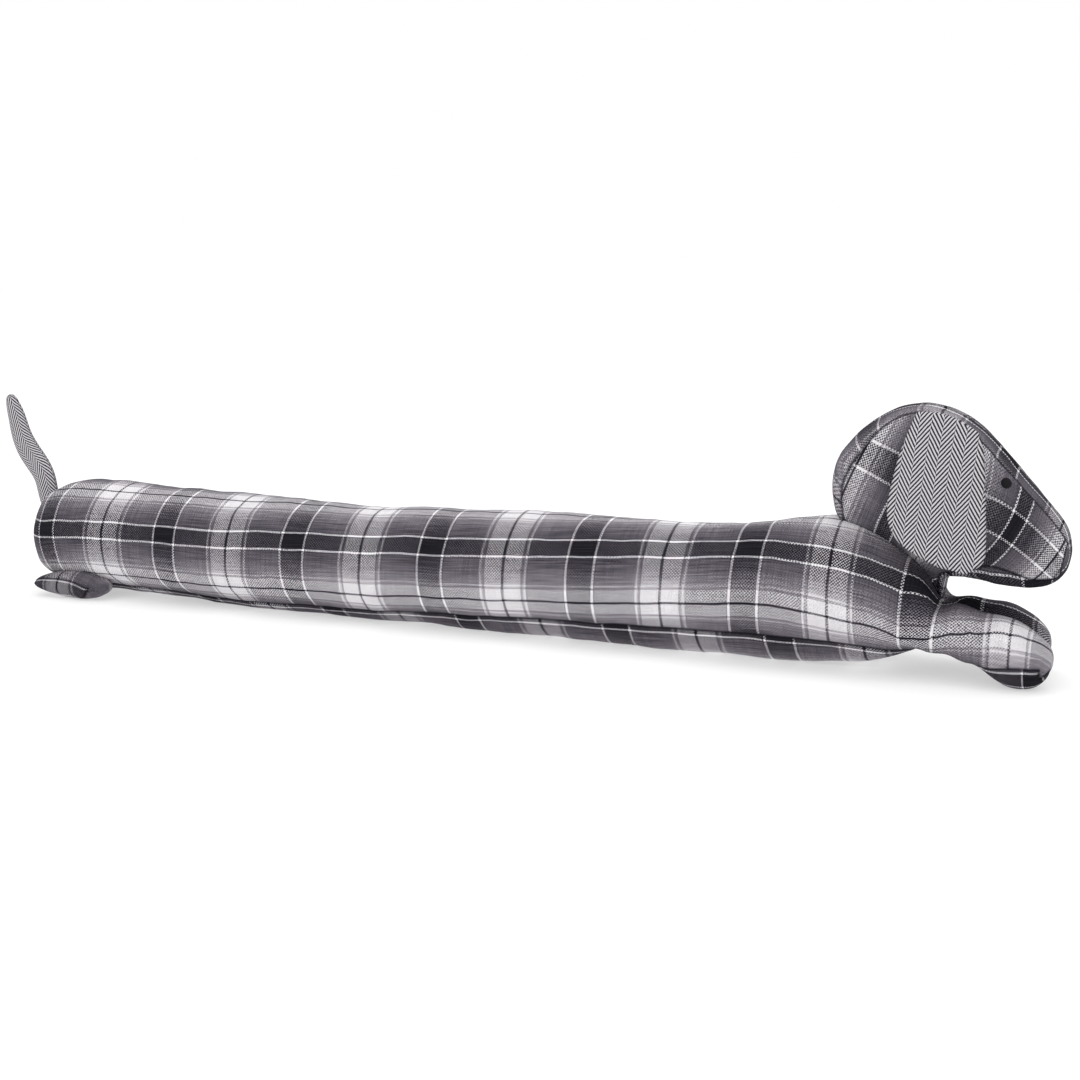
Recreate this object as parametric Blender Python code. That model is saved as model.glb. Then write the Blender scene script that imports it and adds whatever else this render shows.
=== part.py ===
"""A stuffed draught excluder in the form of a long sausage dog, at its real size in metres.

The dog lies along X with its nose towards +X and its right side towards -Y. It rests on
the plane z = 0, under the middle of its body. Every filled piece is a cage of rings that a
Subdivision Surface rounds off. The tables give the real outline in millimetres, a row for
each ring, and the cage is pushed out until the rounded surface passes through them.
"""

import math
from collections import namedtuple

import bmesh
import bpy
from mathutils import Vector
from mathutils.bvhtree import BVHTree

MM = 0.001

# Gaps between sewn pieces, and how the cloth gives
SEWN_GAP = 0.3 * MM
EAR_GAP = 0.9 * MM
LEFT_EAR_DROP = 9 * MM
EAR_SEAM_GAP = 0.45 * MM
SEAM_DEPTH = 2.0 * MM
CAGE_ROUNDS = 8
ROUNDING_LEVELS = 1
# How sharply the dip between the legs keeps to the middle line
DIP_POWER = 6

# The body's half ring runs from the middle of the belly over the side to the back's middle
BODY_DEGREES = (0, 26, 52.5, 76, 98, 120, 141, 161, 180)
BODY_SEAM = 2

# The split between the forelegs has this many points between its top and its bottom
CROTCH_POINTS = 3
LEG_POINTS = len(BODY_DEGREES) + CROTCH_POINTS
LEG_START_DEGREES = -30

# Height and width fractions of the head's half ring, from under the chin to the crown
HEAD_RING = (
    ("chin_middle", 0.00, 0.00),
    ("chin", 0.01, 0.50),
    ("chin_seam", 0.05, 1.00),
    ("jaw", 0.22, 0.88),
    ("cheek", 0.43, 1.00),
    ("temple", 0.64, 0.99),
    ("brow", 0.84, 0.90),
    ("crown_seam", 0.955, 1.00),
    ("crown_middle", 1.00, 0.00),
)

BodyRing = namedtuple("BodyRing", "x low high wide dip rise lean")
LegRing = namedtuple("LegRing", "x out up wide tall roll")
HeadRing = namedtuple("HeadRing", "outer_x outer_z inner_x inner_z wide crown chin")
TailRing = namedtuple("TailRing", "x z half thick turn")
FootRing = namedtuple("FootRing", "x wide low high out")
EarRow = namedtuple("EarRow", "back_x back_z front_x front_z out arch")

# Underside and top at the middle line, half width, how far the top's middle dips and the
# underside's middle rises where the legs part, and how far the ring leans forwards
BODY = (
    BodyRing(-442.0, 32, 74, 23, 0, 0, -3),
    BodyRing(-440.5, 17, 86, 37, 0, 0, -5),
    BodyRing(-434.5, 8, 95, 47, 0, 0, -6),
    BodyRing(-422.5, 4.5, 102, 52, 0, 0, -6),
    BodyRing(-404.0, 4, 107.5, 53.5, 0, 0, -3),
    BodyRing(-382.0, 4, 109, 54, 0, 0, 0),
    BodyRing(-358.0, 4, 109, 54, 0, 0, 0),
    BodyRing(-322.0, 3, 106.5, 53, 0, 0, 0),
    BodyRing(-287.0, 2, 106, 53, 0, 0, 0),
    BodyRing(-253.0, 0, 104, 52, 0, 0, 0),
    BodyRing(-220.0, -1.5, 104, 52, 0, 0, 0),
    BodyRing(-187.0, -2, 104, 52, 0, 0, 0),
    BodyRing(-155.0, -2, 102, 51, 0, 0, 0),
    BodyRing(-123.0, -2, 101, 50.5, 0, 0, 0),
    BodyRing(-92.0, -2, 100, 50.5, 0, 0, 0),
    BodyRing(-61.0, -2, 101, 51, 0, 0, 0),
    BodyRing(-31.0, -1, 103, 51.5, 0, 0, 0),
    BodyRing(-2.0, -2, 102.5, 51, 0, 0, 0),
    BodyRing(27.0, -2, 103.5, 52, 0, 0, 0),
    BodyRing(56.0, -2, 104.5, 52.5, 0, 0, 0),
    BodyRing(84.0, -2, 105, 52.5, 0, 0, 0),
    BodyRing(111.0, -2, 105, 52.5, 0, 0, 0),
    BodyRing(139.0, -2, 105, 52.5, 0, 0, 0),
    BodyRing(165.0, -2, 104, 52, 0, 0, 0),
    BodyRing(191.0, -2, 103.5, 52, 0, 0, 0),
    BodyRing(217.0, -2, 103.5, 52.5, 0, 0, 0),
    BodyRing(243.0, -2, 105, 53.5, 0, 0, 0),
    BodyRing(268.0, -2, 108, 55, 0, 0, 0),
    BodyRing(292.0, -2, 111.5, 57, 0, 0, 0),
    BodyRing(316.0, -1, 115.5, 59, 0, 0, 0),
    BodyRing(338.0, 1, 118, 60, 0, 0, 0),
    BodyRing(358.0, 3, 116.5, 60, 1, 0, 0),
    BodyRing(376.0, 6.5, 110.5, 59, 4, 1, 1),
    BodyRing(392.0, 10, 101.5, 56, 9, 4, 2),
    BodyRing(405.0, 11.5, 85, 52.5, 12, 8, 3),
    BodyRing(415.0, 12, 65.5, 50, 9, 12, 2),
)

# Centre's distance from the middle, its height, half width and half height, and how far the
# seam rolls outwards, on the way to the paw. The left leg lies a little lower and shorter.
RIGHT_LEG = (
    LegRing(429.0, 26.2, 38.6, 23.0, 20.9, 0),
    LegRing(443.0, 26.2, 35.4, 23.0, 21.2, 10),
    LegRing(457.0, 26.4, 30.5, 24.0, 23.2, 25),
    LegRing(471.0, 26.5, 25.6, 24.3, 24.9, 38),
    LegRing(484.0, 26.5, 22.3, 23.0, 21.7, 42),
    LegRing(493.0, 26.5, 21.0, 18.5, 15.6, 42),
    LegRing(498.8, 26.5, 21.0, 10.5, 8.0, 42),
)
LEFT_LEG = (
    LegRing(429.0, 26.2, 36.6, 22.5, 18.8, 0),
    LegRing(443.0, 26.2, 34.2, 22.5, 19.8, 10),
    LegRing(456.0, 26.4, 30.5, 23.5, 22.5, 25),
    LegRing(468.0, 26.5, 26.2, 24.0, 24.6, 38),
    LegRing(479.0, 26.5, 22.8, 22.8, 22.2, 42),
    LegRing(488.0, 26.5, 21.4, 18.5, 16.3, 42),
    LegRing(493.8, 26.5, 21.4, 10.5, 8.4, 42),
)

# Points on the outer and inner profile, half width of the head, and half widths of the
# gusset over the crown and under the chin
HEAD = (
    HeadRing(352.0, 88, 384.0, 58, 9, 6, 5),
    HeadRing(339.5, 98, 409.0, 47, 14, 10, 8),
    HeadRing(332.5, 114, 417.0, 54, 17, 12, 11),
    HeadRing(329.0, 132, 418.5, 67, 22, 17, 15),
    HeadRing(329.0, 152, 420.0, 75.5, 32, 25, 19),
    HeadRing(336.0, 171, 426.0, 77, 40, 31, 20),
    HeadRing(352.5, 190, 433.0, 76, 43.5, 34, 20),
    HeadRing(374.0, 203.5, 440.0, 75.2, 43.5, 34, 20),
    HeadRing(397.0, 208.8, 448.0, 74.2, 42.5, 33, 20),
    HeadRing(419.5, 203.8, 456.0, 73, 41, 31, 20),
    HeadRing(440.2, 189.7, 464.0, 72.3, 38.5, 28, 19),
    HeadRing(459.3, 171.1, 472.0, 71.8, 36, 25, 18),
    HeadRing(476.3, 151.7, 480.0, 71.6, 33, 22, 17),
    HeadRing(490.3, 135.9, 487.0, 72.6, 29.5, 19, 15),
    HeadRing(501.0, 123.2, 494.0, 75, 25, 16, 13),
    HeadRing(506.6, 111, 501.0, 80.5, 18, 11, 10),
    HeadRing(508.0, 101.5, 506.0, 88, 9, 6, 5),
)

# Middle line, half width across it, half thickness, and the direction it points in
TAIL = (
    TailRing(-436.0, 65, 8.0, 5.0, 150),
    TailRing(-446.0, 73.5, 10.0, 6.5, 130),
    TailRing(-452.5, 84, 11.0, 7.0, 112),
    TailRing(-455.5, 96, 11.5, 7.0, 98),
    TailRing(-458.0, 107, 12.0, 7.0, 108),
    TailRing(-463.5, 117.5, 12.6, 7.0, 124),
    TailRing(-471.5, 127.5, 12.8, 7.0, 128),
    TailRing(-479.0, 138, 12.4, 7.0, 120),
    TailRing(-485.0, 151, 11.2, 6.5, 110),
    TailRing(-489.0, 166, 9.8, 6.0, 106),
    TailRing(-493.2, 179, 7.6, 5.0, 108),
    TailRing(-496.0, 187, 4.4, 3.2, 108),
)
TAIL_POINTS = 8

# Half width, underside, top and distance from the middle
FOOT = (
    FootRing(-436.0, 4.5, 9.0, 14.0, 44.0),
    FootRing(-430.5, 10.0, 6.0, 18.0, 43.0),
    FootRing(-417.0, 15.5, 2.5, 22.5, 41.5),
    FootRing(-398.5, 18.0, -0.5, 26.0, 40.0),
    FootRing(-380.0, 18.0, -1.0, 26.5, 39.5),
    FootRing(-366.0, 15.0, 1.0, 23.5, 40.0),
    FootRing(-356.0, 9.5, 6.0, 18.5, 41.0),
    FootRing(-351.0, 4.5, 10.0, 15.0, 42.0),
)
FOOT_POINTS = 10

# Back and front edge of each row, from the gusset seam over the fold and down, how far it
# hangs out, and how much higher its middle lies
EAR = (
    EarRow(396.0, 202.5, 440.0, 185.5, 33.0, 1.5),
    EarRow(396.0, 204.5, 440.0, 191.0, 37.0, 5.0),
    EarRow(391.0, 191.0, 444.5, 182.5, 42.5, 3.0),
    EarRow(385.0, 170.0, 447.5, 166.0, 47.5, 1.0),
    EarRow(380.5, 147.0, 449.5, 145.0, 50.0, 0.0),
    EarRow(379.0, 128.0, 451.0, 123.5, 50.5, 0.0),
    EarRow(385.0, 112.0, 451.5, 105.5, 50.5, 0.0),
    EarRow(400.0, 99.5, 447.5, 93.5, 50.0, 0.0),
    EarRow(417.5, 91.0, 437.0, 87.0, 49.5, 0.0),
)
EAR_COLUMNS = 5
EAR_HALF_THICKNESS = 2.6 * MM

# Round stitched eyes
EYE_X = 461.5 * MM
EYE_Z = 154.0 * MM
EYE_DIAMETER = 8.0 * MM
EYE_HEIGHT = 1.7 * MM
EYE_RINGS = 4
EYE_SIDES = 18
EYE_EDGE = 0.5 * MM

RIGHT, LEFT = -1, 1
FAR = 1.0

Finish = namedtuple("Finish", "name colour roughness metallic")
PLAID = Finish("plaid_cloth", (0.16, 0.15, 0.17, 1.0), 0.92, 0.0)
HERRINGBONE = Finish("herringbone_cloth", (0.36, 0.35, 0.37, 1.0), 0.92, 0.0)
EYE_THREAD = Finish("black_thread", (0.012, 0.012, 0.014, 1.0), 0.6, 0.0)


def clear_scene():
    for thing in list(bpy.data.objects):
        bpy.data.objects.remove(thing, do_unlink=True)


def make_material(node, finish):
    material = bpy.data.materials.new(f"{node}_{finish.name}")
    material.use_nodes = True
    shader = material.node_tree.nodes["Principled BSDF"]
    shader.inputs["Base Color"].default_value = finish.colour
    shader.inputs["Roughness"].default_value = finish.roughness
    shader.inputs["Metallic"].default_value = finish.metallic
    return material


def add_ring(bm, points):
    return [bm.verts.new(point) for point in points]


def bridge(bm, ring, following):
    """Join two closed rings of as many points with a band of four-sided faces."""
    count = len(ring)
    for k in range(count):
        after = (k + 1) % count
        bm.faces.new((ring[k], ring[after], following[after], following[k]))


def loft(rings):
    """A closed cage through the rings, with a flat face at each end."""
    bm = bmesh.new()
    made = [add_ring(bm, points) for points in rings]
    for ring, following in zip(made, made[1:]):
        bridge(bm, ring, following)
    bm.faces.new(made[0])
    bm.faces.new(made[-1])
    return bm


def smoothed_place(vert):
    """Where the rounded surface passes a control point (the limit rule of Catmull and Clark)."""
    count = len(vert.link_edges)
    along_edges = Vector()
    for edge in vert.link_edges:
        along_edges += edge.other_vert(vert).co
    across_faces = Vector()
    for corner in vert.link_loops:
        beside = corner.link_loop_next.vert.co + corner.link_loop_prev.vert.co
        across_faces += 4 * corner.face.calc_center_median() - vert.co - beside
    total = vert.co * count * count + 4 * along_edges + across_faces
    return total / (count * (count + 5))


def push_out(bm):
    """Move the control points until the rounded surface passes through their first places."""
    aims = [vert.co.copy() for vert in bm.verts]
    for _ in range(CAGE_ROUNDS):
        misses = [aim - smoothed_place(vert) for vert, aim in zip(bm.verts, aims)]
        for vert, miss in zip(bm.verts, misses):
            vert.co += miss


def point_faces_out(bm):
    bmesh.ops.recalc_face_normals(bm, faces=bm.faces)
    if bm.calc_volume(signed=True) < 0:
        bmesh.ops.reverse_faces(bm, faces=bm.faces)


def settle(mesh):
    """Press the underside flat on the floor, and cut the faces into fixed triangles."""
    bm = bmesh.new()
    bm.from_mesh(mesh)
    for vert in bm.verts:
        vert.co.z = max(vert.co.z, 0.0)
    bmesh.ops.triangulate(bm, faces=bm.faces)
    bm.to_mesh(mesh)
    bm.free()


def filled_piece(node, bm, finish):
    """Round the cage off, press its underside flat on the floor and make the object."""
    push_out(bm)
    point_faces_out(bm)
    cage = bpy.data.meshes.new(node)
    bm.to_mesh(cage)
    bm.free()
    piece = bpy.data.objects.new(node, cage)
    bpy.context.scene.collection.objects.link(piece)
    rounding = piece.modifiers.new("rounding", "SUBSURF")
    rounding.levels = ROUNDING_LEVELS
    rounding.render_levels = ROUNDING_LEVELS
    bpy.context.view_layer.update()
    graph = bpy.context.evaluated_depsgraph_get()
    rounded = bpy.data.meshes.new_from_object(piece.evaluated_get(graph))
    piece.modifiers.remove(rounding)
    piece.data = rounded
    settle(rounded)
    rounded.materials.clear()
    rounded.materials.append(make_material(node, finish))
    rounded.shade_smooth()
    return piece


def evaluated_surface(piece):
    """A search tree of the piece's surface, to seat another piece on it."""
    bpy.context.view_layer.update()
    return BVHTree.FromObject(piece, bpy.context.evaluated_depsgraph_get())


def seat_against(piece, carrier):
    """Cut a piece back to the sewing gap from the piece that carries it."""
    bpy.context.view_layer.update()
    graph = bpy.context.evaluated_depsgraph_get()
    grown = bpy.data.meshes.new_from_object(carrier.evaluated_get(graph))
    places = [vert.co + vert.normal * SEWN_GAP for vert in grown.vertices]
    for vert, place in zip(grown.vertices, places):
        vert.co = place
    cutter = bpy.data.objects.new(f"{piece.name}_seat", grown)
    bpy.context.scene.collection.objects.link(cutter)
    cutter.hide_render = True
    cutter.display_type = "WIRE"
    cut = piece.modifiers.new("seat", "BOOLEAN")
    cut.operation = "DIFFERENCE"
    cut.solver = "EXACT"
    cut.object = cutter


def body_half_ring(ring):
    """Points from the belly's middle over the right side to the back's middle."""
    middle = (ring.low + ring.high) / 2
    half = (ring.high - ring.low) / 2
    points = []
    for index, degrees in enumerate(BODY_DEGREES):
        angle = math.radians(degrees)
        pull = SEAM_DEPTH / MM / half if index == BODY_SEAM else 0.0
        across = ring.wide * math.sin(angle) * (1 - pull)
        height = -half * math.cos(angle) * (1 - pull)
        topness = max(0.0, -math.cos(angle)) ** DIP_POWER
        bottomness = max(0.0, math.cos(angle)) ** DIP_POWER
        height += ring.rise * bottomness - ring.dip * topness
        forward = ring.x + ring.lean * height / half
        points.append(Vector((forward, -across, middle + height)) * MM)
    return points


def mirrored(point):
    return Vector((point.x, -point.y, point.z))


def body_ring(ring):
    half = body_half_ring(ring)
    return half + [mirrored(point) for point in reversed(half[1:-1])]


def leg_ring(ring, side):
    """Twelve points round a foreleg, from beside the crotch's bottom and round its outside."""
    points = []
    for index in range(LEG_POINTS):
        turn = index * 360 / LEG_POINTS
        angle = math.radians(LEG_START_DEGREES + turn + ring.roll)
        across = ring.out + ring.wide * math.sin(angle)
        height = ring.up - ring.tall * math.cos(angle)
        points.append(Vector((ring.x, side * across, height)) * MM)
    return points


def make_body():
    """The stuffed tube, which parts into the two forelegs at the chest."""
    bm = bmesh.new()
    rings = [add_ring(bm, body_ring(row)) for row in BODY]
    bm.faces.new(rings[0])
    for ring, following in zip(rings, rings[1:]):
        bridge(bm, ring, following)
    last = rings[-1]
    top = len(BODY_DEGREES) - 1
    crotch = []
    for step in range(1, CROTCH_POINTS + 1):
        share = step / (CROTCH_POINTS + 1)
        crotch.append(bm.verts.new(last[top].co.lerp(last[0].co, share)))
    right_side = last[:top + 1]
    left_side = [last[0]] + last[:top - 1:-1]
    legs = ((RIGHT, right_side, RIGHT_LEG), (LEFT, left_side, LEFT_LEG))
    for side, half, rows in legs:
        ring = half + crotch
        for row in rows:
            following = add_ring(bm, leg_ring(row, side))
            bridge(bm, ring, following)
            ring = following
        bm.faces.new(ring)
    return filled_piece("body", bm, PLAID)


def head_ring(row):
    """A ring across the head, from under the chin over the right cheek to the crown."""
    inner = Vector((row.inner_x, 0, row.inner_z))
    outer = Vector((row.outer_x, 0, row.outer_z))
    half = []
    for name, height, width in HEAD_RING:
        across = row.wide * width
        if name in ("chin", "chin_seam"):
            across = row.chin * width
        if name == "crown_seam":
            across = row.crown * width
        point = inner.lerp(outer, height)
        half.append(Vector((point.x, -across, point.z)) * MM)
    return half + [mirrored(point) for point in reversed(half[1:-1])]


def make_head(body):
    head = filled_piece("head", loft([head_ring(row) for row in HEAD]), PLAID)
    seat_against(head, body)
    return head


def make_tail(body):
    """A padded tube of cloth, wider across than it is thick."""
    rings = []
    for row in TAIL:
        forward = math.radians(row.turn - 90)
        across = Vector((math.cos(forward), 0, math.sin(forward)))
        ring = []
        for index in range(TAIL_POINTS):
            angle = math.tau * index / TAIL_POINTS
            side = across * row.half * math.cos(angle)
            side.y = row.thick * math.sin(angle)
            ring.append((Vector((row.x, 0, row.z)) + side) * MM)
        rings.append(ring)
    tail = filled_piece("tail", loft(rings), HERRINGBONE)
    seat_against(tail, body)


def make_foot(node, side, body):
    """An oval filled pad with a seam all round, sewn under the side of the rear end."""
    rings = []
    for row in FOOT:
        middle = (row.low + row.high) / 2
        half = (row.high - row.low) / 2
        ring = []
        for index in range(FOOT_POINTS):
            angle = math.tau * index / FOOT_POINTS
            across = row.out + row.wide * math.cos(angle)
            ring.append(Vector((row.x, side * across, middle + half * math.sin(angle))) * MM)
        rings.append(ring)
    foot = filled_piece(node, loft(rings), PLAID)
    seat_against(foot, body)


def ear_distance(surface, place, least, side):
    """How far out the ear hangs there: clear of the cheek where the cheek lies behind it."""
    start = Vector((place.x, side * FAR, place.z))
    cheek, _, _, _ = surface.ray_cast(start, Vector((0, -side, 0)))
    if cheek is None:
        return least
    return max(least, abs(cheek.y) + EAR_GAP + EAR_HALF_THICKNESS)


def make_ear(node, side, head):
    """A flat padded ear that hangs against the cheek from the crown's seam."""
    surface = evaluated_surface(head)
    bm = bmesh.new()
    outside, inside = [], []
    last_row = len(EAR) - 1
    for index, row in enumerate(EAR):
        back = Vector((row.back_x, 0, row.back_z)) * MM
        front = Vector((row.front_x, 0, row.front_z)) * MM
        outside.append([])
        inside.append([])
        for column in range(EAR_COLUMNS):
            share = column / (EAR_COLUMNS - 1)
            place = back.lerp(front, share)
            place.z += row.arch * MM * math.sin(math.pi * share)
            if side == LEFT:
                place.z -= LEFT_EAR_DROP
            place.y = side * ear_distance(surface, place, row.out * MM, side)
            if index == 0:
                seam, normal, _, _ = surface.find_nearest(place)
                place = seam + normal * EAR_SEAM_GAP
            edge = index in (0, last_row) or column in (0, EAR_COLUMNS - 1)
            half = Vector((0, 0.0 if edge else side * EAR_HALF_THICKNESS, 0))
            outer = bm.verts.new(place + half)
            outside[-1].append(outer)
            inside[-1].append(outer if edge else bm.verts.new(place - half))
    for layer in (outside, inside):
        for row, following in zip(layer, layer[1:]):
            for column in range(EAR_COLUMNS - 1):
                corners = (row[column], row[column + 1], following[column + 1], following[column])
                bm.faces.new(corners)
    filled_piece(node, bm, HERRINGBONE)


def make_eye(node, side, head):
    """A low round dome of satin stitches, flat against the head."""
    surface = evaluated_surface(head)
    start = Vector((EYE_X, side * FAR, EYE_Z))
    place, normal, _, _ = surface.ray_cast(start, Vector((0, -side, 0)))
    turn = normal.to_track_quat("Z", "Y")
    base = place + normal * SEWN_GAP
    radius = EYE_DIAMETER / 2
    profile = [(radius, 0.0)]
    for step in range(EYE_RINGS):
        angle = math.radians(90) * step / EYE_RINGS
        height = EYE_EDGE + (EYE_HEIGHT - EYE_EDGE) * math.sin(angle)
        profile.append((radius * math.cos(angle), height))
    rings = []
    for size, height in profile:
        ring = []
        for index in range(EYE_SIDES):
            angle = math.tau * index / EYE_SIDES
            local = Vector((size * math.cos(angle), size * math.sin(angle), height))
            ring.append(base + turn @ local)
        rings.append(ring)
    bm = loft(rings)
    point_faces_out(bm)
    mesh = bpy.data.meshes.new(node)
    bm.to_mesh(mesh)
    bm.free()
    mesh.materials.append(make_material(node, EYE_THREAD))
    mesh.shade_smooth()
    eye = bpy.data.objects.new(node, mesh)
    bpy.context.scene.collection.objects.link(eye)


def main():
    clear_scene()
    body = make_body()
    head = make_head(body)
    make_tail(body)
    for name, side in (("right", RIGHT), ("left", LEFT)):
        make_foot(f"foot_{name}", side, body)
        make_ear(f"ear_{name}", side, head)
        make_eye(f"eye_{name}", side, head)


main()
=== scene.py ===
"""The looks of the stuffed sausage-dog draught excluder: its panels, seams, stitches and cloths.

The pieces are made from the same named sizes as the solids, in millimetres, but finer. Each
corner of a panel knows its place on the flat cloth, in metres, and the check and the
herringbone are drawn from that place. Creases, with painted shade in them, are drawn from
the distance to the seams.
"""

import math
from collections import namedtuple

import bmesh
import bpy
import numpy as np
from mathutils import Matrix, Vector, noise
from mathutils.bvhtree import BVHTree
from mathutils.kdtree import KDTree


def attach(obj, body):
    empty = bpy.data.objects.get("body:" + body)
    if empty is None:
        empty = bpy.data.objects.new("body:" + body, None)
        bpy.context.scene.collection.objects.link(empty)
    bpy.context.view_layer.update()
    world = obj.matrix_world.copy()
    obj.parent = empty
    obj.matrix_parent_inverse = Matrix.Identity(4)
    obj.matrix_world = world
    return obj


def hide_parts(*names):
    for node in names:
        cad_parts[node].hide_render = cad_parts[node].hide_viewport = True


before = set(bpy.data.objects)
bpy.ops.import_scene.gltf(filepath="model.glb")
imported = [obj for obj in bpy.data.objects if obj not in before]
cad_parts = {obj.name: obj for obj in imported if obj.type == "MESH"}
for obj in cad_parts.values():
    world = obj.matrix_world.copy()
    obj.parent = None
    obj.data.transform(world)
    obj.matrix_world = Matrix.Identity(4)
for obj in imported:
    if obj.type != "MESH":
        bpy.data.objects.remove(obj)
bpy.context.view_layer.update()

MM = 0.001

# The camera's place: how far it is turned from the dog's side, its height and its distance
CAMERA_TURN = 23.0
CAMERA_RISE = 9.8
CAMERA_DISTANCE = 1.29
CAMERA_TARGET = Vector((0.0764, 0.0, 0.0806))
CAMERA_LENS = 50.0

# A white floor that glows a little, a white sky and two soft lights
WHITE = (1.0, 1.0, 1.0, 1.0)
FLOOR_RADIUS = 40.0
FLOOR_SIDES = 64
FLOOR_GREY = 0.60
FLOOR_GLOW = 0.46
SKY_STRENGTH = 1.0
Lamp = namedtuple("Lamp", "name place size energy")
LAMPS = (
    Lamp("key", (-0.3, -2.2, 2.3), 2.4, 10.0),
    Lamp("top", (0.0, 0.3, 2.6), 2.2, 15.0),
)
LAMP_AIM = Vector((0.0, 0.0, 0.05))

# The check's repeat along the dog and round it, where a black line crosses the dog's length,
# and the width of the dots that the threads make
CHECK_LONG = 138.0 * MM
CHECK_SHORT = 91.5 * MM
CHECK_FROM_X = -350.0 * MM
THREAD = 1.28 * MM

# The herringbone: the width of two columns, the rise from thread to thread and their slope
CHEVRON_WIDTH = 17.5 * MM
CHEVRON_RISE = 4.13 * MM
CHEVRON_SLOPE = 1.42

# How far the seam of the solid lies in, and how deep and wide the finer creases are
SEAM_DEPTH = 2.0 * MM
Seam = namedtuple("Seam", "depth reach")
FILLED_SEAM = Seam(0.8 * MM, 2.5 * MM)
FOOT_SEAM = Seam(0.6 * MM, 2.0 * MM)
TAIL_SEAM = Seam(0.2 * MM, 1.0 * MM)
EAR_SEAM = Seam(0.0, 1.5 * MM)
NECK_TUCK = Seam(1.5 * MM, 4.0 * MM)
SEWN_GAP = 0.3 * MM

# The lumps of the filling, as widths and heights, and how full each piece is
BODY_LUMPS = ((55.0 * MM, 1.5 * MM), (22.0 * MM, 0.9 * MM), (9.0 * MM, 0.25 * MM))
HEAD_LUMPS = ((40.0 * MM, 0.8 * MM), (16.0 * MM, 0.5 * MM), (8.0 * MM, 0.2 * MM))

CAGE_ROUNDS = 8
ROUNDING_LEVELS = 3
EAR_ROUNDING_LEVELS = 4
# Farther out than any piece reaches
FAR = 1.0

RIGHT, LEFT = -1, 1
SIDES = (("right", RIGHT), ("left", LEFT))
TOP_PANEL, UNDER_PANEL, SIDE_PANEL, GUSSET, SOLE = range(5)

# The body's half ring runs from the middle of the belly over the side to the back's middle
BODY_DEGREES = (0, 26, 52.5, 76, 98, 120, 141, 161, 180)
BODY_SEAM = 2
BODY_POINTS = 2 * (len(BODY_DEGREES) - 1)
CROTCH_POINTS = 3
LEG_POINTS = len(BODY_DEGREES) + CROTCH_POINTS
LEG_SEAMS = (BODY_SEAM, 10)
TOE_FACES = (0, LEG_POINTS - 1)
LEG_START_DEGREES = -30
# How sharply the dip between the legs keeps to the middle line
DIP_POWER = 6
# The points of a ring that tell how far apart two rings are, and how far the rear bulges
SIDE_POINTS = (3, 4, 5)
REAR_BULGE = 0.8 * MM

# The head's outline from the chin's middle to the crown's, as height and a share of a width
HeadPoint = namedtuple("HeadPoint", "height share of")
HEAD_OUTLINE = (
    HeadPoint(0.00, 0.00, "chin"),
    HeadPoint(0.01, 0.50, "chin"),
    HeadPoint(0.05, 1.00, "chin"),
    HeadPoint(0.22, 0.88, "wide"),
    HeadPoint(0.43, 1.00, "wide"),
    HeadPoint(0.64, 0.99, "wide"),
    HeadPoint(0.84, 0.90, "wide"),
    HeadPoint(0.955, 1.00, "crown"),
    HeadPoint(1.00, 0.00, "crown"),
)
JAW, CHEEK, TEMPLE = 0.27, 0.45, 0.66
# Heights of the points beside the chin's seam, as shares of the seam's own height
CHIN_SHARE, JAW_SHARE = 0.3, 1.8
CHIN_SEAM, CROWN_SEAM, CROWN = 2, 7, 9
HEAD_POINTS = 2 * CROWN
NOSE_SEAM_RING = 15

BodyRing = namedtuple("BodyRing", "x low high wide dip rise lean")
Course = namedtuple("Course", "x near far black")
Gather = namedtuple("Gather", "x times")
Reach = namedtuple("Reach", "x cloth")
LegRing = namedtuple("LegRing", "x out up wide tall roll black")
HeadRing = namedtuple("HeadRing", "outer_x outer_z inner_x inner_z wide crown chin low high")
CheekLine = namedtuple("CheekLine", "planar cloth")
TailRing = namedtuple("TailRing", "x z half thick turn")
FootRing = namedtuple("FootRing", "x wide low high out above below")
EarRow = namedtuple("EarRow", "back_x back_z front_x front_z out arch")

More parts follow.
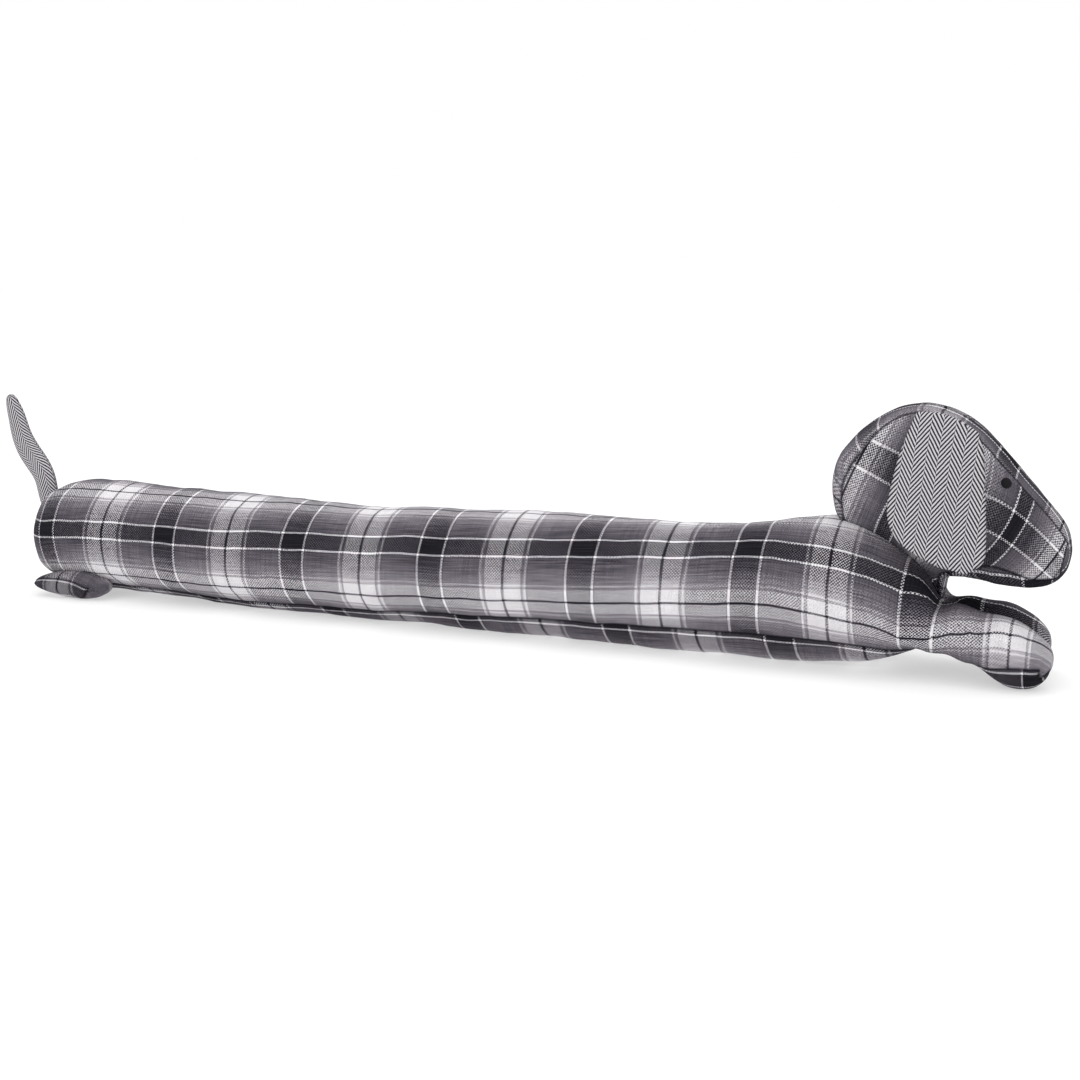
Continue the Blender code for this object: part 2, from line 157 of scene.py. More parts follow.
# Underside and top at the middle line, half width, how far the top's middle dips and the
# underside's middle rises where the legs part, and how far the ring leans forwards
BODY = (
    BodyRing(-442.0, 32, 74, 23, 0, 0, -3),
    BodyRing(-440.5, 17, 86, 37, 0, 0, -5),
    BodyRing(-434.5, 8, 95, 47, 0, 0, -6),
    BodyRing(-422.5, 4.5, 102, 52, 0, 0, -6),
    BodyRing(-404.0, 4, 107.5, 53.5, 0, 0, -3),
    BodyRing(-382.0, 4, 109, 54, 0, 0, 0),
    BodyRing(-358.0, 4, 109, 54, 0, 0, 0),
    BodyRing(-322.0, 3, 106.5, 53, 0, 0, 0),
    BodyRing(-287.0, 2, 106, 53, 0, 0, 0),
    BodyRing(-253.0, 0, 104, 52, 0, 0, 0),
    BodyRing(-220.0, -1.5, 104, 52, 0, 0, 0),
    BodyRing(-187.0, -2, 104, 52, 0, 0, 0),
    BodyRing(-155.0, -2, 102, 51, 0, 0, 0),
    BodyRing(-123.0, -2, 101, 50.5, 0, 0, 0),
    BodyRing(-92.0, -2, 100, 50.5, 0, 0, 0),
    BodyRing(-61.0, -2, 101, 51, 0, 0, 0),
    BodyRing(-31.0, -1, 103, 51.5, 0, 0, 0),
    BodyRing(-2.0, -2, 102.5, 51, 0, 0, 0),
    BodyRing(27.0, -2, 103.5, 52, 0, 0, 0),
    BodyRing(56.0, -2, 104.5, 52.5, 0, 0, 0),
    BodyRing(84.0, -2, 105, 52.5, 0, 0, 0),
    BodyRing(111.0, -2, 105, 52.5, 0, 0, 0),
    BodyRing(139.0, -2, 105, 52.5, 0, 0, 0),
    BodyRing(165.0, -2, 104, 52, 0, 0, 0),
    BodyRing(191.0, -2, 103.5, 52, 0, 0, 0),
    BodyRing(217.0, -2, 103.5, 52.5, 0, 0, 0),
    BodyRing(243.0, -2, 105, 53.5, 0, 0, 0),
    BodyRing(268.0, -2, 108, 55, 0, 0, 0),
    BodyRing(292.0, -2, 111.5, 57, 0, 0, 0),
    BodyRing(316.0, -1, 115.5, 59, 0, 0, 0),
    BodyRing(338.0, 1, 118, 60, 0, 0, 0),
    BodyRing(358.0, 3, 116.5, 60, 1, 0, 0),
    BodyRing(376.0, 6.5, 110.5, 59, 4, 1, 1),
    BodyRing(392.0, 10, 101.5, 56, 9, 4, 2),
    BodyRing(405.0, 11.5, 85, 52.5, 12, 8, 3),
    BodyRing(415.0, 12, 65.5, 50, 9, 12, 2),
)

# How far up from the belly's middle the near seam, the far seam and the near side's black
# line lie, in degrees
COURSES = (
    Course(-442, 25, 80, 50),
    Course(-404, 25, 80, 52),
    Course(-322, 27, 78, 55),
    Course(-220, 31.5, 73.5, 59.5),
    Course(-144, 36, 69, 64.5),
    Course(-77, 40.5, 64.5, 67),
    Course(-15, 44.5, 60.5, 69),
    Course(65, 50, 55, 73),
    Course(116, 53.5, 51.5, 76.8),
    Course(168, 56, 49, 81),
    Course(204, 57.5, 47.5, 85),
    Course(236, 58.5, 46.5, 87.7),
    Course(268, 59.5, 45.5, 89.2),
    Course(293, 58.5, 46.5, 88.3),
    Course(317, 56.3, 46.5, 83.3),
    Course(341, 53, 46, 78.5),
    Course(360, 49, 43, 75.5),
    Course(376, 42, 38, 72.3),
    Course(392, 28, 26, 62.7),
    Course(405, 18, 17, 69.5),
    Course(415, 10, 10, 87),
)

# How much longer the cloth is than the chest that it is gathered on, above the black line
GATHERS = (
    Gather(345.0, 1.0),
    Gather(376.0, 1.08),
    Gather(392.0, 1.02),
    Gather(405.0, 1.10),
    Gather(415.0, 1.18),
)
GATHER_REACH = 56.0 * MM

# Centre's distance from the middle, its height, half width and half height, how far the seam
# rolls outwards, and the angle that the check's black line has on the right leg, and its
# dark band on the left
RIGHT_LEG = (
    LegRing(429.0, 26.2, 38.6, 23.0, 20.9, -25, 97),
    LegRing(443.0, 26.2, 35.4, 23.0, 21.2, -15, 112),
    LegRing(457.0, 26.4, 30.5, 24.0, 23.2, 22, 124.7),
    LegRing(471.0, 26.5, 25.6, 24.3, 24.9, 44, 133),
    LegRing(484.0, 26.5, 22.3, 23.0, 21.7, 52, 144.7),
    LegRing(493.0, 26.5, 21.0, 18.5, 15.6, 52, 158),
    LegRing(498.8, 26.5, 21.0, 10.5, 8.0, 50, 172),
)
LEFT_LEG = (
    LegRing(429.0, 26.2, 36.6, 22.5, 18.8, -25, 213),
    LegRing(443.0, 26.2, 34.2, 22.5, 19.8, -15, 214),
    LegRing(456.0, 26.4, 30.5, 23.5, 22.5, 18, 215),
    LegRing(468.0, 26.5, 26.2, 24.0, 24.6, 36, 215),
    LegRing(479.0, 26.5, 22.8, 22.8, 22.2, 42, 213),
    LegRing(488.0, 26.5, 21.4, 18.5, 16.3, 42, 210),
    LegRing(493.8, 26.5, 21.4, 10.5, 8.4, 42, 205),
)

# The top panel follows the tube. The belly and the paws' under panels are cut from another
# part of the cloth, which starts at the seam at a share of the repeat, and the left leg's
# cloth lies farther back
BELLY_SHIFT = 28.0 * MM
BELLY_START = 0.473
LEFT_LEG_SHIFT = 37.0 * MM
SHIFT_FROM_X = 330.0
SHIFT_TO_X = 483.0
PAW_LINE_X = 503.6 * MM
PAW_START = 0.38
# How far along the cloth each place comes, where the tube widens and parts into legs
REACHES = (
    Reach(-442.0, -444.6),
    Reach(-350.0, -352.3),
    Reach(-200.0, -200.0),
    Reach(316.0, 316.0),
    Reach(338.0, 340.0),
    Reach(391.0, 396.9),
    Reach(416.0, 421.1),
    Reach(453.8, 457.6),
    Reach(471.4, 478.0),
    Reach(485.5, 498.4),
    Reach(493.0, 511.0),
    Reach(498.8, 525.0),
)
# How many rings the cloth is stretched over at the rear end, and how much
REAR_RINGS = 4
REAR_STRETCH = 1.30

# Points on the outer and inner profile, half width of the head, half widths of the gusset
# over the crown and under the chin, and the heights of the gusset's seams in hundredths
HEAD = (
    HeadRing(352.0, 88, 384.0, 58, 9, 6, 5, 5, 95),
    HeadRing(339.5, 98, 409.0, 47, 14, 10, 8, 5, 93),
    HeadRing(332.5, 114, 417.0, 54, 17, 12, 11, 5, 90),
    HeadRing(329.0, 132, 418.5, 67, 22, 17, 15, 5, 89),
    HeadRing(329.0, 152, 420.0, 75.5, 32, 25, 19, 5, 88),
    HeadRing(336.0, 171, 426.0, 77, 40, 31, 20, 5, 88),
    HeadRing(352.5, 190, 433.0, 76, 43.5, 34, 20, 6, 91),
    HeadRing(374.0, 203.5, 440.0, 75.2, 43.5, 34, 20, 7, 95.5),
    HeadRing(397.0, 208.8, 448.0, 74.2, 42.5, 33, 20, 10, 96.5),
    HeadRing(419.5, 203.8, 456.0, 73, 41, 31, 20, 13, 96),
    HeadRing(440.2, 189.7, 464.0, 72.3, 38.5, 28, 19, 14, 95.5),
    HeadRing(459.3, 171.1, 472.0, 71.8, 36, 25, 18, 14, 94),
    HeadRing(476.3, 151.7, 480.0, 71.6, 33, 22, 17, 13, 94),
    HeadRing(490.3, 135.9, 487.0, 72.6, 29.5, 19, 15, 14, 93),
    HeadRing(501.0, 123.2, 494.0, 75, 25, 16, 13, 14, 91),
    HeadRing(506.6, 111, 501.0, 80.5, 18, 11, 10, 10, 93),
    HeadRing(508.0, 101.5, 506.0, 88, 9, 6, 5, 5, 95),
)

# The cheek panel's cloth lies aslant, by angles in degrees. Distances across the slant, and
# the same on the cloth
CHEEK_SLANT = 64.5
CHEEK_TILT = 23.6
CHEEK_LINES = (
    CheekLine(200.0, -53.0),
    CheekLine(247.8, 0.0),
    CheekLine(330.3, 91.5),
    CheekLine(365.6, 129.2),
    CheekLine(376.8, 145.3),
    CheekLine(406.7, 183.0),
    CheekLine(450.0, 240.0),
)
# The dark band that crosses the cheek, and how its lines bend towards the snout
CHEEK_BAND = 300.8
CHEEK_BOW = 0.007
LOW_CHEEK_BOW = 0.005
CHEEK_REACH = 30.0
SNOUT_BEND_X = 450.0
SNOUT_BEND = 0.0068
# Where the cheek's cloth ends and turns in under the neck, and how it is drawn forwards there,
# which brings darker bands of the check under the neck as painted shade
NECK_PLAIN = 258.0
NECK_FROM_X = 388.0
NECK_REACH = 14.0
NECK_SHADE_LEAN = 1.2
NECK_SHADE_SHIFT = 30.0
# How far along the gusset from the neck a black line crosses it, the cloth's scale there, and
# how far it is moved sideways under the chin
GUSSET_CROWN = 181.0 * MM
GUSSET_SCALE = 0.89
CHIN_SHIFT = 15.0 * MM
CHIN_POWER = 3

# Middle line, half width across it, half thickness, and the direction it points in
TAIL = (
    TailRing(-436.0, 65, 8.0, 5.0, 150),
    TailRing(-446.0, 73.5, 10.0, 6.5, 130),
    TailRing(-452.5, 84, 11.0, 7.0, 112),
    TailRing(-455.5, 96, 11.5, 7.0, 98),
    TailRing(-458.0, 107, 12.0, 7.0, 108),
    TailRing(-463.5, 117.5, 12.6, 7.0, 124),
    TailRing(-471.5, 127.5, 12.8, 7.0, 128),
    TailRing(-479.0, 138, 12.4, 7.0, 120),
    TailRing(-485.0, 151, 11.2, 6.5, 110),
    TailRing(-489.0, 166, 9.8, 6.0, 106),
    TailRing(-493.2, 179, 7.6, 5.0, 108),
    TailRing(-496.0, 187, 4.4, 3.2, 108),
)
TAIL_POINTS = 8
# How long the tail's cloth is for its length, and where its ridge lies on its width
TAIL_CLOTH = 1.05
TAIL_RIDGE = 0.30

# Half width, underside, top and distance from the middle, and the angles of the sole's edges
FOOT = (
    FootRing(-436.0, 4.5, 9.0, 14.0, 44.0, 25, -25),
    FootRing(-430.5, 10.0, 6.0, 18.0, 43.0, 42, -50),
    FootRing(-417.0, 15.5, 2.5, 22.5, 41.5, 36, -66),
    FootRing(-400.5, 18.0, -0.3, 25.7, 40.2, 30, -68),
    FootRing(-387.0, 18.0, -1.0, 26.5, 39.6, 24, -62),
    FootRing(-374.0, 17.0, -0.3, 25.3, 39.7, 11, -48),
    FootRing(-366.0, 15.0, 1.5, 23.2, 40.0, 2, -9),
    FootRing(-357.0, 10.3, 5.5, 19.0, 40.9, 12, -40),
    FootRing(-353.3, 7.0, 8.2, 16.6, 41.5, 30, -36),
    FootRing(-351.0, 4.5, 10.0, 15.0, 42.0, 36, -36),
)
FOOT_POINTS = 11
SOLE_FACES = 2
SOLE_RINGS = 6
# Where a black line crosses the foot, how long its cloth is for its length, and where the
# cloth ends in front. Across, it starts at the seam at a share of the repeat, and farther in
# past the sole
FOOT_BLACK_X = -401.0 * MM
FOOT_CLOTH = 1.2
FOOT_LAST = 0.38 * CHECK_LONG
FOOT_START = 0.402
FOOT_INSET = 6.0 * MM

# Back and front edge of each row, from the gusset seam over the fold and down, how far it
# hangs out, and how much higher its middle lies
EAR = (
    EarRow(396.0, 202.5, 440.0, 185.5, 33.0, 1.5),
    EarRow(396.0, 204.5, 440.0, 191.0, 37.0, 5.0),
    EarRow(391.0, 191.0, 444.5, 182.5, 42.5, 3.0),
    EarRow(385.0, 170.0, 447.5, 166.0, 47.5, 1.0),
    EarRow(380.5, 147.0, 449.5, 145.0, 50.0, 0.0),
    EarRow(379.0, 128.0, 451.0, 123.5, 50.5, 0.0),
    EarRow(385.0, 112.0, 451.5, 105.5, 50.5, 0.0),
    EarRow(400.0, 99.5, 447.5, 93.5, 50.0, 0.0),
    EarRow(417.5, 91.0, 437.0, 87.0, 49.5, 0.0),
)
EAR_COLUMNS = 5
EAR_HALF_THICKNESS = 2.6 * MM
# How far the ears stay from the cheek and from the seam that they are sewn in, and how much
# lower the left one is sewn
EAR_GAP = 0.9 * MM
EAR_SEAM_GAP = 0.45 * MM
LEFT_EAR_DROP = 9.0 * MM
# How far the herringbone's columns lean, in degrees, and where a ridge lies
EAR_LEAN = 4.5
EAR_PEAK = 373.4 * MM

EYE_X = 461.5 * MM
EYE_Z = 154.0 * MM
EYE_DIAMETER = 8.0 * MM
EYE_HEIGHT = 1.7 * MM
EYE_SEGMENTS = 48
EYE_RINGS = 24

# Unevenness of the cloths: how many patches to the metre, their detail and their roughness
Grain = namedtuple("Grain", "scale detail roughness")
CROSS_WANDER = Grain(22.0, 2.0, 0.5)
LENGTH_WANDER = Grain(31.0, 2.0, 0.5)
LOOSE_THREADS = Grain(700.0, 1.0, 0.5)
SPECKLES = Grain(1000.0, 1.0, 0.6)
CROSS_STREAKS = Grain(700.0, 1.0, 0.7)
LENGTH_STREAKS = Grain(760.0, 1.0, 0.7)
CLOUDS = Grain(60.0, 3.0, 0.5)
PUCKERS = Grain(260.0, 1.0, 0.5)
CHEVRON_WANDER = Grain(60.0, 2.0, 0.5)
CHEVRON_SPECKLES = Grain(1100.0, 1.0, 0.6)
EYE_FIBRES = Grain(2500.0, 2.0, 0.5)

# How far the check's lines and its threads stray
CROSS_LINE_STRAY = 2.2 * MM
LENGTH_LINE_STRAY = 1.8 * MM
CROSS_THREAD_STRAY = 1.1 * MM
LENGTH_THREAD_STRAY = 0.9 * MM
# How much of the lengthways threads lies on top, and how much dots and speckles change it
OVER_SHARE = 0.635
OVER_DOTS = 1.4
OVER_SPECKLES = 1.8
# How much slower the colour changes along a thread than across it, and how strong streaks,
# the painted shade where light and dark threads cross, clouds and speckles are
STREAK_STRETCH = 0.03
CROSS_STREAKING = 0.30
LENGTH_STREAKING = 0.50
HOLLOW_PAINTED_SHADE = 0.13
CLOUD_STRENGTH = 0.10
SPECKLE_STRENGTH = 0.30

# The herringbone: how far its columns stray, how sharp and how fuzzy a thread's edge is, how
# wide the light threads are, and the tones
CHEVRON_STRAY = 0.05
CHEVRON_SHARPNESS = 3.0
CHEVRON_FUZZ = 2.4
CHEVRON_LIGHTNESS = 0.1
CHEVRON_TONE = 0.49
CHEVRON_CONTRAST = 0.31
CHEVRON_SPECKLE_STRENGTH = 0.10
CHEVRON_RELIEF = 0.6

# The creases at the seams with the painted shade in them, the puckers round them and the
# relief of the threads
CREASE_WIDTH = 1.3 * MM
PUCKER_REACH = 6.0 * MM
CREASE_PAINTED_SHADE = 0.55
CREASE_HEIGHT = 0.6 * MM
PUCKER_HEIGHT = 1.0 * MM
THREAD_HEIGHT = 0.12 * MM
CHECK_CREASE_AND_SHADE = 1.0
CHEVRON_CREASE_AND_SHADE = 0.3
BUMP_STRENGTH = 0.7
CLOTH_ROUGHNESS = 0.93
CLOTH_SHINE = 0.03
EYE_ROUGHNESS = 0.8
EYE_SHINE = 0.12

# Tones as the eye reads them, from 0 to 1, with the distance from the black line as a share
# of the repeat at which each starts and ends
CROSS_BANDS = (
    (0.000, 0.0085, 0.12, 0.12),
    (0.0085, 0.119, 0.84, 0.83),
    (0.119, 0.131, 0.38, 0.38),
    (0.131, 0.140, 0.50, 0.50),
    (0.140, 0.155, 0.80, 0.80),
    (0.155, 0.402, 0.39, 0.33),
    (0.402, 0.4075, 0.13, 0.13),
    (0.4075, 0.4235, 0.92, 0.92),
    (0.4235, 0.500, 0.12, 0.12),
)
LENGTH_BANDS = (
    (0.000, 0.0105, 0.12, 0.12),
    (0.0105, 0.119, 0.89, 0.89),
    (0.119, 0.133, 0.58, 0.58),
    (0.133, 0.143, 0.60, 0.60),
    (0.143, 0.160, 0.80, 0.80),
    (0.160, 0.280, 0.60, 0.40),
    (0.280, 0.400, 0.38, 0.26),
    (0.400, 0.404, 0.13, 0.13),
    (0.404, 0.4235, 0.94, 0.94),
    (0.4235, 0.500, 0.12, 0.12),
)
BAND_EDGE = 0.004
CLOTH_COLOURS = (
    (0.00, (0.002, 0.002, 0.003, 1)),
    (0.13, (0.0145, 0.0138, 0.0178, 1)),
    (0.25, (0.0520, 0.0465, 0.0575, 1)),
    (0.39, (0.124, 0.112, 0.132, 1)),
    (0.58, (0.298, 0.280, 0.308, 1)),
    (0.72, (0.475, 0.455, 0.482, 1)),
    (0.85, (0.683, 0.663, 0.687, 1)),
    (1.00, (0.960, 0.950, 0.965, 1)),
)
EYE_COLOURS = (
    (0.3, (0.006, 0.006, 0.007, 1)),
    (0.7, (0.014, 0.013, 0.016, 1)),
)


class Wire:
    """A socket of a material, so that shader maths can be written as an expression."""

    def __init__(self, paint, socket):
        self.paint = paint
        self.socket = socket

    def math(self, operation, *others):
        values = dict(enumerate((self, *others)))
        return self.paint.node("ShaderNodeMath", {"operation": operation}, values)

    def __add__(self, other):
        return self.math("ADD", other)

    def __radd__(self, other):
        return self.math("ADD", other)

    def __sub__(self, other):
        return self.math("SUBTRACT", other)

    def __rsub__(self, other):
        return self.paint.node("ShaderNodeMath", {"operation": "SUBTRACT"}, {0: other, 1: self})

    def __mul__(self, other):
        return self.math("MULTIPLY", other)

    def __rmul__(self, other):
        return self.math("MULTIPLY", other)

    def __truediv__(self, other):
        return self.math("DIVIDE", other)

    def __neg__(self):
        return self.math("MULTIPLY", -1.0)


class Paint:
    """One material, with a method that adds any node."""

    def __init__(self, name):
        self.material = bpy.data.materials.new(name)
        self.material.use_nodes = True
        self.tree = self.material.node_tree
        self.shader = self.tree.nodes["Principled BSDF"]

    def feed(self, socket, value):
        if isinstance(value, Wire):
            self.tree.links.new(value.socket, socket)
        else:
            socket.default_value = value

    def node(self, kind, settings=None, values=None, output=0):
        made = self.tree.nodes.new(kind)
        for name, value in (settings or {}).items():
            if name == "stops":
                self.set_stops(made.color_ramp, value)
            else:
                setattr(made, name, value)
        for slot, value in (values or {}).items():
            self.feed(made.inputs[slot], value)
        return Wire(self, made.outputs[output])

    @staticmethod
    def set_stops(ramp, stops):
        while len(ramp.elements) > 1:
            ramp.elements.remove(ramp.elements[0])
        ramp.elements[0].position = stops[0][0]
        ramp.elements[0].color = stops[0][1]
        for position, colour in stops[1:]:
            ramp.elements.new(position).color = colour

    def ramp(self, value, stops):
        return self.node("ShaderNodeValToRGB", {"stops": stops}, {"Fac": value})

    def noise(self, place, grain, dimensions="2D"):
        settings = {"noise_dimensions": dimensions}
        values = {name.capitalize(): value for name, value in grain._asdict().items()}
        return self.node("ShaderNodeTexNoise", settings, {"Vector": place, **values})

    def stray(self, place, grain):
        """Noise that goes up and down from zero."""
        return self.noise(place, grain) - 0.5

    def vector(self, x, y):
        return self.node("ShaderNodeCombineXYZ", None, {"X": x, "Y": y})

    def attribute(self, name):
        return self.node("ShaderNodeAttribute", {"attribute_name": name}, None, "Fac")

    def cloth_place(self):
        """The place on the flat cloth, in metres, along the long repeat and across it."""
        place = self.node("ShaderNodeUVMap", {"uv_map": "cloth"})
        split = self.tree.nodes.new("ShaderNodeSeparateXYZ")
        self.feed(split.inputs[0], place)
        return place, Wire(self, split.outputs["X"]), Wire(self, split.outputs["Y"])


def grey(level):
    return (level, level, level, 1.0)


def tone_stops(bands):
    """Ramp stops for the bands, from the black line to the middle between two of them."""
    stops = []
    for start, end, level_in, level_out in bands:
        stops.append((min(2 * start + BAND_EDGE, 1.0), grey(level_in)))
        stops.append((min(2 * end - BAND_EDGE, 1.0), grey(level_out)))
    return stops


def from_line(place, repeat):
    """Distance from the nearest black line, as a share of the repeat, from 0 to 0.5."""
    return ((place / repeat + 0.5).math("FRACT") - 0.5).math("ABSOLUTE")


def seam_marks(paint):
    """A crease's depth, from 0 to 1, and its softer surroundings, from the seam's distance."""
    distance = paint.attribute("seam")
    crease = (-(distance / CREASE_WIDTH).math("POWER", 2.0)).math("EXPONENT")
    around = (-(distance / PUCKER_REACH)).math("EXPONENT")
    return crease, around


def finish_cloth(paint, tone, relief, crease_and_shade, place):
    """Colour from the tone with painted shade in the seam creases, and a soft brushed surface with
    creased seams.
    """
    crease, around = seam_marks(paint)
    crease = crease * crease_and_shade
    puckers = paint.noise(place, PUCKERS)
    # painted shade: the colour is darkened along the seam creases
    tone = tone * (1.0 - crease * CREASE_PAINTED_SHADE)
    colour = paint.ramp(tone, CLOTH_COLOURS)
    paint.feed(paint.shader.inputs["Base Color"], colour)
    height = relief * THREAD_HEIGHT - crease * CREASE_HEIGHT + puckers * around * PUCKER_HEIGHT
    bump_values = {"Strength": BUMP_STRENGTH, "Distance": 1.0, "Height": height}
    bump = paint.node("ShaderNodeBump", None, bump_values)
    paint.feed(paint.shader.inputs["Normal"], bump)
    paint.shader.inputs["Roughness"].default_value = CLOTH_ROUGHNESS
    paint.shader.inputs["Specular IOR Level"].default_value = CLOTH_SHINE
    return paint.material


def streaked(paint, tone, place, grain, strength):
    """The tone of unevenly dyed threads, which shows most in the middle greys."""
    middle = (tone * (1.0 - tone)) * 4.0
    return tone + paint.stray(paint.vector(*place), grain) * middle * strength


def check_cloth(name):
    """Brushed twill with a shadow check: two sets of striped threads that show through each other."""
    paint = Paint(name)
    place, along, across = paint.cloth_place()
    loose = paint.stray(place, LOOSE_THREADS)
    warp = ((along + loose * CROSS_THREAD_STRAY) * (math.pi / THREAD)).math("SINE")
    weft = ((across + loose * LENGTH_THREAD_STRAY) * (math.pi / THREAD)).math("SINE")
    dots = warp * weft
    speckle = paint.stray(place, SPECKLES)
    over = OVER_SHARE + dots * OVER_DOTS + speckle * OVER_SPECKLES
    over = over.math("MINIMUM", 1.0).math("MAXIMUM", 0.0)

    along_line = along + paint.stray(place, CROSS_WANDER) * CROSS_LINE_STRAY
    cross_tone = paint.ramp(from_line(along_line, CHECK_LONG) * 2.0, tone_stops(CROSS_BANDS))
    stretched = (along, across * STREAK_STRETCH)
    cross_tone = streaked(paint, cross_tone, stretched, CROSS_STREAKS, CROSS_STREAKING)

    across_line = across + paint.stray(place, LENGTH_WANDER) * LENGTH_LINE_STRAY
    length_tone = paint.ramp(from_line(across_line, CHECK_SHORT) * 2.0, tone_stops(LENGTH_BANDS))
    stretched = (along * STREAK_STRETCH, across)
    length_tone = streaked(paint, length_tone, stretched, LENGTH_STREAKS, LENGTH_STREAKING)

    # painted shade: darker where a light and a dark thread cross, as if shade lay in the hollow
    # between them
    hollow_shade = (cross_tone - length_tone).math("ABSOLUTE") * HOLLOW_PAINTED_SHADE
    tone = cross_tone * (1.0 - over) + length_tone * over - hollow_shade
    clouds = paint.stray(place, CLOUDS) * CLOUD_STRENGTH
    tone = tone * (1.0 + clouds + speckle * SPECKLE_STRENGTH)
    return finish_cloth(paint, tone, dots + speckle, CHECK_CREASE_AND_SHADE, place)


def herringbone_cloth(name):
    """Charcoal and off-white chevrons in upright columns."""
    paint = Paint(name)
    place, up, side = paint.cloth_place()
    wander = paint.stray(place, CHEVRON_WANDER)
    column = (side / CHEVRON_WIDTH + wander * CHEVRON_STRAY).math("FRACT") - 0.5
    slope = column.math("ABSOLUTE") * (CHEVRON_WIDTH * CHEVRON_SLOPE)
    turned = column.math("GREATER_THAN", 0.0)
    phase = (up - slope) / CHEVRON_RISE + turned * 0.5
    wave = (phase * math.tau).math("SINE")
    speckle = paint.stray(place, CHEVRON_SPECKLES)
    line = wave * CHEVRON_SHARPNESS + CHEVRON_LIGHTNESS + speckle * CHEVRON_FUZZ
    line = line.math("MINIMUM", 1.0).math("MAXIMUM", -1.0)
    tone = CHEVRON_TONE + line * CHEVRON_CONTRAST + speckle * CHEVRON_SPECKLE_STRENGTH
    return finish_cloth(paint, tone, line * CHEVRON_RELIEF + speckle, CHEVRON_CREASE_AND_SHADE, place)


def thread_finish(name):
    """Black embroidery thread with a faint satin shine."""
    paint = Paint(name)
    place = paint.node("ShaderNodeTexCoord", None, None, "Object")
    fibre = paint.noise(place, EYE_FIBRES, "3D")
    paint.feed(paint.shader.inputs["Base Color"], paint.ramp(fibre, EYE_COLOURS))
    paint.shader.inputs["Roughness"].default_value = EYE_ROUGHNESS
    paint.shader.inputs["Specular IOR Level"].default_value = EYE_SHINE
    return paint.material


class Cage:
    """Rings of points joined by four-sided faces, each corner with its place on the cloth."""

    def __init__(self):
        self.bm = bmesh.new()
        self.cloth = self.bm.loops.layers.uv.new("cloth")

    def ring(self, points):
        return [self.bm.verts.new(point) for point in points]

    def face(self, corners, places, panel):
        made = self.bm.faces.new(corners)
        made.material_index = panel
        for corner, place in zip(made.loops, places):
            corner[self.cloth].uv = place

    def bridge(self, rings, places, panels):
        """Join two rings. places(k, which, panel) gives the cloth's place at a point."""
        ring, following = rings
        count = len(ring)
        for k in range(count):
            panel = panels(k)
            after = (k + 1) % count
            corners = (ring[k], ring[after], following[after], following[k])
            spots = (
                places(k, 0, panel),
                places(k + 1, 0, panel),
                places(k + 1, 1, panel),
                places(k, 1, panel),
            )
            self.face(corners, spots, panel)

    def loft(self, rings, place, panel_at, end_place, end_panel):
        """Join all the rings of points, and close both ends with a face."""
        made = [self.ring(points) for points in rings]
        for index in range(len(made) - 1):
            self.bridge(
                (made[index], made[index + 1]),
                lambda k, which, panel: place(index + which, k, panel),
                lambda k: panel_at(index, k),
            )
        for index in (0, len(made) - 1):
            places = [end_place(index, k) for k in range(len(made[index]))]
            self.face(made[index], places, end_panel)


def smoothed_place(vert):
    """Where the rounded surface passes a control point (the limit rule of Catmull and Clark)."""
    count = len(vert.link_edges)
    along_edges = Vector()
    for edge in vert.link_edges:
        along_edges += edge.other_vert(vert).co
    across_faces = Vector()
    for corner in vert.link_loops:
        beside = corner.link_loop_next.vert.co + corner.link_loop_prev.vert.co
        across_faces += 4 * corner.face.calc_center_median() - vert.co - beside
    total = vert.co * count * count + 4 * along_edges + across_faces
    return total / (count * (count + 5))


def push_out(bm):
    """Move the control points until the rounded surface passes through their first places."""
    aims = [vert.co.copy() for vert in bm.verts]
    for _ in range(CAGE_ROUNDS):
        misses = [aim - smoothed_place(vert) for vert, aim in zip(bm.verts, aims)]
        for vert, miss in zip(bm.verts, misses):
            vert.co += miss


def mesh_from(name, bm):
    mesh = bpy.data.meshes.new(name)
    bm.to_mesh(mesh)
    bm.free()
    return mesh


def added(name, data):
    """A new object in the scene."""
    made = bpy.data.objects.new(name, data)
    bpy.context.scene.collection.objects.link(made)
    return made


def aimed(name, data, place, aim):
    """A lamp or a camera in the scene that looks at a place."""
    holder = added(name, data)
    holder.location = place
    holder.rotation_mode = "QUATERNION"
    holder.rotation_quaternion = (aim - holder.location).to_track_quat("-Z", "Y")
    return holder


def rounded_object(name, cage, levels):
    """The cage rounded off into a fine mesh that keeps the cloth's places and its panels."""
    bm = cage.bm
    push_out(bm)
    bmesh.ops.recalc_face_normals(bm, faces=bm.faces)
    if bm.calc_volume(signed=True) < 0:
        bmesh.ops.reverse_faces(bm, faces=bm.faces)
    piece = added(name, mesh_from(name, bm))
    rounding = piece.modifiers.new("rounding", "SUBSURF")
    rounding.levels = levels
    rounding.render_levels = levels
    rounding.uv_smooth = "NONE"
    return applied(piece)


def lay_flat(piece, panels, cloth):
    """Give the corners of some panels the cloth's place that a function finds for each point."""
    mesh = piece.data
    layer = mesh.uv_layers["cloth"].data
    for face in mesh.polygons:
        if face.material_index in panels:
            for corner in face.loop_indices:
                layer[corner].uv = cloth(mesh.vertices[mesh.loops[corner].vertex_index].co)


def applied(piece):
    """Turn the piece's modifiers into its mesh."""
    bpy.context.view_layer.update()
    graph = bpy.context.evaluated_depsgraph_get()
    mesh = bpy.data.meshes.new_from_object(piece.evaluated_get(graph))
    piece.modifiers.clear()
    piece.data = mesh
    return piece


def places_of(mesh):
    points = np.empty(len(mesh.vertices) * 3)
    mesh.vertices.foreach_get("co", points)
    return points.reshape(-1, 3)


def put_places(mesh, points):
    mesh.vertices.foreach_set("co", points.ravel())
    mesh.update()


def normals_of(mesh):
    normals = np.empty(len(mesh.vertices) * 3)
    mesh.vertex_normals.foreach_get("vector", normals)
    return normals.reshape(-1, 3)


